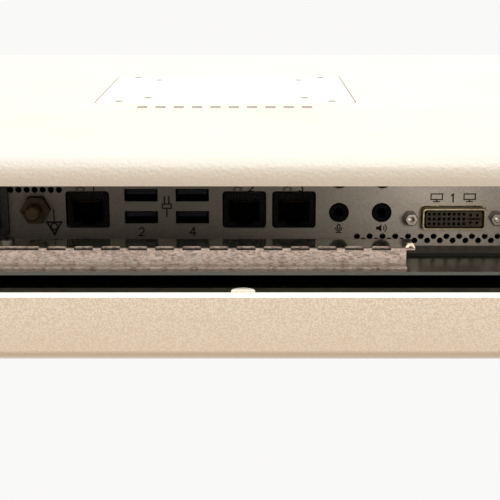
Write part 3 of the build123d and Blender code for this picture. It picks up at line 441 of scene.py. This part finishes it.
# %% Moulded engineering plastics
def moulded(name, tone, shade, roughness=0.45, grain=0.35 * MM, depth=0.012 * MM, gloss=0.5):
    plastic = Finish(name, ior=1.5, specular_ior_level=gloss)
    fine = plastic.noise(grain, 2)
    flow = plastic.noise(9 * MM, 3, plastic.place((1, 1, 2.5)))
    colour = plastic.blend(flow.step(0.3, 0.7), tone, shade)
    colour = plastic.blend(plastic.worn() * 0.35, colour, tuple(min(1, 1.8 * c + 0.04) for c in tone))
    return plastic.set(base_color=colour, roughness=roughness + fine * 0.16 - flow * 0.06,
                       normal=plastic.bump(fine, depth))


# Black plastic, darkened further as painted shade inside the ports.
dress(moulded("socket_black", (0.0012, 0.0013, 0.0012), (0.0018, 0.0019, 0.0018), 0.8, gloss=0.06),
      "lan_jack_1", "lan_jack_2a", "lan_jack_2b", "audio_sockets_mic", "audio_sockets_speaker")
dress(moulded("black_plastic", (0.006, 0.006, 0.006), (0.010, 0.010, 0.0095), gloss=0.25), "ac_inlet",
      "rocker_frame", "blower_housing", "blower_rotor", "speaker_left", "speaker_right", "processor")
dress(moulded("rocker_black", (0.025, 0.025, 0.026), (0.035, 0.034, 0.034), 0.25), "mains_rocker")
# Dyed blue, darkened as painted shade inside the data ports.
dress(moulded("tongue_blue", (0.0016, 0.0035, 0.011), (0.0024, 0.005, 0.015), 0.5, gloss=0.1),
      "usb_tongues")
# The cores are white plastic; the dull olive is painted shade.
dress(moulded("core_olive", (0.045, 0.037, 0.021), (0.034, 0.028, 0.015), 0.5), "video_cores")
dress(moulded("flex_tan", (0.50, 0.27, 0.08), (0.42, 0.22, 0.06), 0.35), "display_cable")
# The frame is black; it and the backlight are made near-black as painted shade of the gap under the ledge.
dress(moulded("tray_black", (0.0015, 0.0016, 0.0018), (0.0025, 0.0026, 0.0028), 0.7, gloss=0.1),
      "backlight", "lcd_frame")
dress(moulded("key_white", (0.78, 0.765, 0.72), (0.73, 0.715, 0.67), 0.4), "key_brightness_down",
      "key_brightness_up", "key_volume_down", "key_volume_up")
dress(moulded("key_green", (0.20, 0.42, 0.26), (0.17, 0.37, 0.23), 0.38), "power_button")

# %% [markdown]
# The foam strips are closed-cell rubber: matt, nearly black, with a skin of tiny pits.

# %% Foam
def foam():
    rubber = Finish("foam_dark", roughness=0.9)
    pits = rubber.cells(0.5 * MM, "SMOOTH_F1")
    tone = rubber.ramp(rubber.noise(6 * MM, 3), (0.3, (0.030, 0.030, 0.020)), (0.7, (0.055, 0.054, 0.038)))
    return rubber.set(base_color=tone, normal=rubber.bump(pits, 0.08 * MM))


dress(foam(), "bay_seal", "glass_seal", "power_cable")

# %% [markdown]
# A circuit board is green lacquer over copper. The tracks show as paler lines, so the mortar of one brick
# pattern stands in for them, and gold dots stand in for the soldered holes.

# %% Circuit boards
def circuit_board():
    board = Finish("board_green", coat_weight=0.4, coat_roughness=0.15)
    flat = board.node("CombineXYZ", None, {"X": board.axis("X"), "Y": board.axis("Z")})
    tracks = board.node("TexBrick", {"offset": 0.37, "squash": 1.0},
                        {"Vector": flat, "Scale": 1.0, "Brick Width": 11 * MM, "Row Height": 1.6 * MM,
                         "Mortar Size": 0.16 * MM, "Color1": (0, 0, 0, 1), "Color2": (0, 0, 0, 1),
                         "Mortar": (1, 1, 1, 1)})
    dots = board.node("TexVoronoi", {"voronoi_dimensions": "2D"},
                      {"Vector": flat, "Scale": 1 / (3.2 * MM), "Randomness": 0.8}, "Distance") < 0.13
    tone = board.blend(tracks, (0.012, 0.095, 0.045), (0.025, 0.17, 0.08))
    tone = board.blend(dots, tone, (0.68, 0.52, 0.22))
    return board.set(base_color=tone, roughness=0.42 - dots * 0.12, metallic=dots * 0.9,
                     normal=board.bump(tracks, 0.02 * MM))


dress(circuit_board(), "mainboard", "memory_modules", "wireless_card", "led_driver_board", "psu_board",
      "key_board")

# %% [markdown]
# The heat sink is extruded aluminium and the drive's lid is the same metal, blasted and anodised. The
# mounting bridge behind the back cover is painted white.

# %% Aluminium and gold
dress(rolled_steel("extruded_aluminium", (0.78, 0.79, 0.80), (0.66, 0.67, 0.69), 0.25, along=(40, 40, 1)),
      "heat_sink")
dress(moulded("bracket_white", (0.80, 0.78, 0.72), (0.76, 0.74, 0.68), 0.42), "vesa_bracket")
dress(rolled_steel("anodised_lid", (0.52, 0.53, 0.55), (0.46, 0.47, 0.49), 0.4, 0.004 * MM), "drive")
dress(nickel("gold_contact", (0.05, 0.036, 0.016), (0.03, 0.022, 0.010), 0.4), "lan_contacts")

# %% [markdown]
# The front is one sheet of black-bordered glass. When the display is off, the picture area is a very dark
# blue-grey behind it, and the border is black ink, so a mask on the glass's own coordinates tells them
# apart. Light smears and dust show only in the gloss.

# %% Cover glass, display and light pipe
ACTIVE_HALF = 259.2 * MM
ACTIVE_LOW, ACTIVE_HIGH = -160.0 * MM, 164.0 * MM


def cover_glass():
    glass = Finish("screen_glass", ior=1.52, coat_weight=1.0, coat_roughness=0.02)
    across = glass.axis("X").math("ABSOLUTE")
    upright = glass.axis("Z")
    inside = (across < ACTIVE_HALF) * (upright > ACTIVE_LOW) * (upright < ACTIVE_HIGH)
    smears = glass.noise(38 * MM, 4, glass.place((1, 1, 2.2)), 0.6)
    dust = glass.noise(1.2 * MM, 2).step(0.68, 0.8)
    tone = glass.blend(inside, (0.0045, 0.0045, 0.005), (0.014, 0.016, 0.020))
    return glass.set(base_color=glass.blend(dust * 0.12, tone, (0.4, 0.4, 0.4)),
                     roughness=0.05 + smears.step(0.45, 0.8) * 0.1 + dust * 0.2)


dress(cover_glass(), "cover_glass")
dress(moulded("lcd_black", (0.012, 0.012, 0.015), (0.016, 0.016, 0.020), 0.15), "lcd_cell")
lit = Finish("light_green", roughness=0.3, emission_strength=1.6)
glow = lit.noise(0.8 * MM, 1)
lit.set(base_color=lit.blend(glow, (0.35, 0.75, 0.42), (0.42, 0.82, 0.50)),
        emission_color=lit.blend(glow, (0.15, 0.65, 0.22), (0.22, 0.75, 0.30)))
dress(lit, "light_pipe")

# %% [markdown]
# Symbols are printed on the panel and the keys in dark ink, a few hundredths of a millimetre thick.
# They could be painted in the shader, but an edge drawn there is only as sharp as its mask. Thin flat
# prisms give a crisp edge at any distance. Each mark is drawn on a small flat drawing board that knows
# where it lies, which way is right, which way is up and which way it faces.

# %% A drawing board for printed marks
INK = 0.03 * MM


class Print:
    """Flat strokes on a plane. Coordinates are millimetres from the mark's own centre."""

    def __init__(self, origin, across, upward):
        self.mesh = bmesh.new()
        self.origin = Vector(origin)
        self.across, self.upward = Vector(across), Vector(upward)
        self.out = self.across.cross(self.upward)
        self.at = (0.0, 0.0)

    def move(self, u, v):
        """Sets the centre of the next mark."""
        self.at = (u, v)
        return self

    def prism(self, outline):
        """A thin closed prism on an outline of (u, v) points."""
        low, high = [], []
        for u, v in outline:
            flat = self.origin + ((u + self.at[0]) * self.across + (v + self.at[1]) * self.upward) * MM
            low.append(self.mesh.verts.new(flat - self.out * INK * 0.5))
            high.append(self.mesh.verts.new(flat + self.out * INK))
        self.mesh.faces.new(high)
        self.mesh.faces.new(low[::-1])
        for i in range(len(outline)):
            j = (i + 1) % len(outline)
            self.mesh.faces.new((low[i], low[j], high[j], high[i]))
        return self

    def line(self, start, end, width=0.3):
        """A straight stroke with square ends."""
        a, b = Vector(start), Vector(end)
        along = (b - a).normalized() * width / 2
        side = Vector((along.y, -along.x))
        return self.prism([a - along + side, b + along + side, b + along - side, a - along - side])

    def path(self, points, width=0.3, closed=False):
        for a, b in zip(points, points[1:] + (points[:1] if closed else [])):
            self.line(a, b, width)
        return self

    def arc(self, centre, radius, start, end, width=0.3, steps=14):
        """A curved stroke from one angle to another, in degrees."""
        turn = [radians(start + (end - start) * i / steps) for i in range(steps + 1)]
        inner, outer = radius - width / 2, radius + width / 2
        for a, b in zip(turn, turn[1:]):
            self.prism([(centre[0] + r * cos(t), centre[1] + r * sin(t))
                        for r, t in ((inner, a), (outer, a), (outer, b), (inner, b))])
        return self

    def piece(self, name, finish, body, slot):
        """Makes the marks one object that rides on a body."""
        mesh = bpy.data.meshes.new(name)
        bmesh.ops.recalc_face_normals(self.mesh, faces=self.mesh.faces)
        self.mesh.to_mesh(mesh)
        self.mesh.free()
        marks = bpy.data.objects.new(name, mesh)
        bpy.context.scene.collection.objects.link(marks)
        dress(finish, marks)
        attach(marks, body)
        print(name, len(mesh.polygons), "faces")


def ink(name, tone):
    """Ink that has worn thin in places."""
    print_ink = Finish(name, roughness=0.7, specular_ior_level=0.1)
    thin = print_ink.noise(0.5 * MM, 2)
    faded = tuple(c * 1.5 + 0.002 for c in tone)
    return print_ink.set(base_color=print_ink.blend(thin.step(0.3, 0.8), tone, faded))


dark_ink = ink("dark_ink", (0.006, 0.006, 0.005))

# %% [markdown]
# The panel's marks say what each port is for. A plug, a microphone, a loudspeaker and a screen are drawn
# as plain pictures, the two lower data ports have the numbers 2 and 4, and the earth stud has its
# arrow-like symbol. Seen in the bay, right is -X and up is towards the back.

# %% Marks on the connector panel
def middle(node):
    low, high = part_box(node)
    return (low + high) / 2


def across_panel(x):
    """Millimetres to the right of the panel's middle, as seen in the bay."""
    return -x / MM


def digit(marks, value, height=3.1, width=0.52):
    """A figure drawn with straight and curved strokes."""
    w, h = height * 0.3, height / 2
    if value == 1:
        marks.path([(-w * 0.7, h * 0.6), (0, h), (0, -h)], width)
    if value == 2:
        marks.arc((0, h - w), w, 170, -35, width)
        marks.path([(w * 0.8, h - w * 1.7), (-w, -h), (w * 1.1, -h)], width)
    if value == 3:
        marks.arc((0, h / 2), h / 2, 160, -90, width)
        marks.arc((0, -h / 2), h / 2, 90, -160, width)
    if value == 4:
        marks.path([(w * 0.6, -h), (w * 0.6, h), (-w * 1.1, -h * 0.35), (w * 1.3, -h * 0.35)], width)


def plug(marks):
    """A cable end with two prongs."""
    marks.path([(-1.7, 0.6), (-1.7, -1.1), (1.7, -1.1), (1.7, 0.6)], 0.5, closed=True)
    marks.line((-0.85, 0.7), (-0.85, 3.4), 0.6).line((0.85, 0.7), (0.85, 3.4), 0.6)
    marks.line((0, -1.1), (0, -4.2), 0.55)


def microphone(marks):
    marks.arc((0, 0.9), 0.55, 0, 180, 0.45).arc((0, 0.2), 0.55, 180, 360, 0.45)
    marks.line((-0.55, 0.9), (-0.55, 0.2), 0.45).line((0.55, 0.9), (0.55, 0.2), 0.45)
    marks.arc((0, 0.2), 1.25, 180, 360, 0.42).line((0, -1.1), (0, -1.6), 0.42)
    marks.line((-0.9, -1.7), (0.9, -1.7), 0.42)


def loudspeaker(marks):
    marks.prism([(-2.0, -0.6), (-1.1, -0.6), (0.1, -1.6), (0.1, 1.6), (-1.1, 0.6), (-2.0, 0.6)])
    marks.arc((0.1, 0), 1.0, -50, 50, 0.42).arc((0.1, 0), 1.9, -50, 50, 0.42)


def screen(marks):
    marks.path([(-2.2, -0.6), (2.2, -0.6), (2.2, 1.6), (-2.2, 1.6)], 0.45, closed=True)
    marks.line((0, -0.6), (0, -1.3), 0.45).line((-1.1, -1.4), (1.1, -1.4), 0.45)


def network(marks):
    """Three boxes on one line."""
    half_w, half_h = 0.4, 0.35
    for u, v in ((0, 0.8), (-1.3, -0.8), (1.3, -0.8)):
        marks.path([(u - half_w, v - half_h), (u + half_w, v - half_h),
                    (u + half_w, v + half_h), (u - half_w, v + half_h)], 0.2, closed=True)
    marks.line((0, 0.4), (0, 0), 0.2).line((-1.3, 0), (1.3, 0), 0.2)
    marks.line((-1.3, 0), (-1.3, -0.4), 0.2).line((1.3, 0), (1.3, -0.4), 0.2)


def earth_symbol(marks):
    """A line onto a triangle that points down, with a ring inside."""
    marks.line((0, 5.1), (0, 0.1), 0.5)
    marks.path([(-2.8, 0), (2.8, 0), (0, -4.9)], 0.7, closed=True)
    marks.arc((0, -1.75), 1.3, 0, 360, 0.6, 22)


panel_print = Print((0, back_y, panel_z), (-1, 0, 0), (0, 1, 0))


def mark(symbol, x, depth, *more):
    """Draws a symbol at x on the panel, that far in millimetres under the outer face of the back cover."""
    symbol(panel_print.move(across_panel(x), -depth), *more)


mark(earth_symbol, middle("earth_pin").x - 6.7 * MM, 33.2)
usb_1, usb_2 = middle("usb_shell_1_2").x, middle("usb_shell_3_4").x
UNDER_USB, BETWEEN_USB = 37.0, 26.6
mark(digit, usb_1, UNDER_USB, 2)
mark(digit, usb_2, UNDER_USB, 4)
mark(plug, (usb_1 + usb_2) / 2, BETWEEN_USB)
OVER_LAN, LAN_ASIDE = 19.4, 2.6 * MM
for jack, number in (("lan_jack_1", 1), ("lan_jack_2a", 2), ("lan_jack_2b", 3)):
    mark(network, middle(jack).x + LAN_ASIDE, OVER_LAN)
    mark(digit, middle(jack).x - LAN_ASIDE, OVER_LAN, number)
UNDER_JACKS = 35.6
mark(microphone, middle("audio_sockets_mic").x, UNDER_JACKS)
mark(loudspeaker, middle("audio_sockets_speaker").x, UNDER_JACKS)
OVER_VIDEO, VIDEO_ASIDE = 23.6, 6.4 * MM
for shell, number in (("video_shell_1", 1), ("video_shell_2", 2)):
    x = middle(shell).x
    mark(screen, x + VIDEO_ASIDE, OVER_VIDEO)
    mark(digit, x, OVER_VIDEO, number)
    mark(screen, x - VIDEO_ASIDE, OVER_VIDEO)
panel_print.piece("panel_marks", dark_ink, "housing", "black_plastic")

# %% [markdown]
# The keys on the front carry pictures too, pressed into the same ink: a small and a large sun, a quiet and
# a loud speaker, and the power sign. Each one moves with its key.

# %% Marks on the keys
def sun(marks, radius):
    marks.arc((0, 0), radius, 0, 360, 0.28, 18)
    for i in range(8):
        c, s = cos(pi * i / 4), sin(pi * i / 4)
        marks.line(((radius + 0.6) * c, (radius + 0.6) * s), ((radius + 1.1) * c, (radius + 1.1) * s), 0.26)


def quiet(marks):
    marks.prism([(-1.3, -0.45), (-0.6, -0.45), (0.3, -1.25), (0.3, 1.25), (-0.6, 0.45), (-1.3, 0.45)])


def power(marks):
    marks.arc((0, 0), 2.4, 125, 415, 0.5, 26).line((0, 0.9), (0, 3.1), 0.5)


KEY_MARKS = {"key_brightness_down": (sun, 0.6), "key_brightness_up": (sun, 1.1),
             "key_volume_down": (quiet,), "key_volume_up": (loudspeaker,), "power_button": (power,)}
bodies = frame["record"]["behaviour"]["bodies"]
body_of_node = {node: body for body, nodes in bodies.items() for node in nodes}
for key, (symbol, *size) in KEY_MARKS.items():
    centre = middle(key)
    face = Print((centre.x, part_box(key)[0].y, centre.z), (1, 0, 0), (0, 0, 1))
    symbol(face, *size)
    tone = ink("pale_ink", (0.75, 0.80, 0.74)) if key == "power_button" else dark_ink
    face.piece(key + "_mark", tone, body_of_node[key], "black_plastic")

# %% [markdown]
# Last, the number of pieces that were given a finish is printed beside the number of CAD parts.

# %% Finish
print("finishes on", len(set(finished)), "pieces of", len(frame["nodes"]), "parts")
